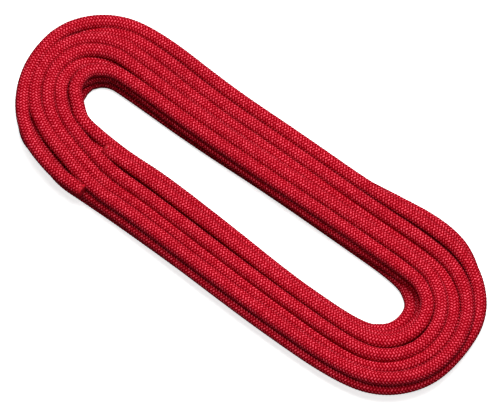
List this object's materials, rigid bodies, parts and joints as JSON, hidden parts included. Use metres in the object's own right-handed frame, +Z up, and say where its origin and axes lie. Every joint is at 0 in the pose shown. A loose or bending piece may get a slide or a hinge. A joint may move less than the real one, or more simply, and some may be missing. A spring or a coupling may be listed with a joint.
{
  "type": "dynamic climbing rope",
  "caption": "Kernmantle dynamic climbing rope wound into a long flat coil, with both cut ends lying on top, for a climber to uncoil and tie into.",
  "frame": {"origin": "on the surface that the coil rests on, under the middle of the coil's bounding box", "axes": "+Z up from the surface, +X along the coil's long axis towards the wider bend, +Y towards the side away from the rope's two ends"},
  "size_m": [0.3886, 0.1402, 0.0272],
  "materials": {
    "sheath": "fine braided polyamide sheath, crimson, matt with a slight sheen",
    "core": "twisted white polyamide strands",
    "melted_tip": "polyamide melted by the hot cut, darker than the sheath"
  },
  "bodies": {
    "root": {"rope_coil": "sheath", "inner_end_sheath": "sheath", "inner_end_melted_tip": "melted_tip", "inner_end_core_strand_01": "core", "inner_end_core_strand_02": "core", "inner_end_core_strand_03": "core", "inner_end_core_strand_04": "core", "inner_end_core_strand_05": "core", "inner_end_core_strand_06": "core", "inner_end_core_strand_07": "core", "inner_end_core_strand_08": "core", "inner_end_core_strand_09": "core", "inner_end_core_strand_10": "core", "inner_end_core_strand_11": "core", "inner_end_core_strand_12": "core", "outer_end_sheath": "sheath", "outer_end_melted_tip": "melted_tip", "outer_end_core_strand_01": "core", "outer_end_core_strand_02": "core", "outer_end_core_strand_03": "core", "outer_end_core_strand_04": "core", "outer_end_core_strand_05": "core", "outer_end_core_strand_06": "core", "outer_end_core_strand_07": "core", "outer_end_core_strand_08": "core", "outer_end_core_strand_09": "core", "outer_end_core_strand_10": "core", "outer_end_core_strand_11": "core", "outer_end_core_strand_12": "core"}
  },
  "joints": []
}
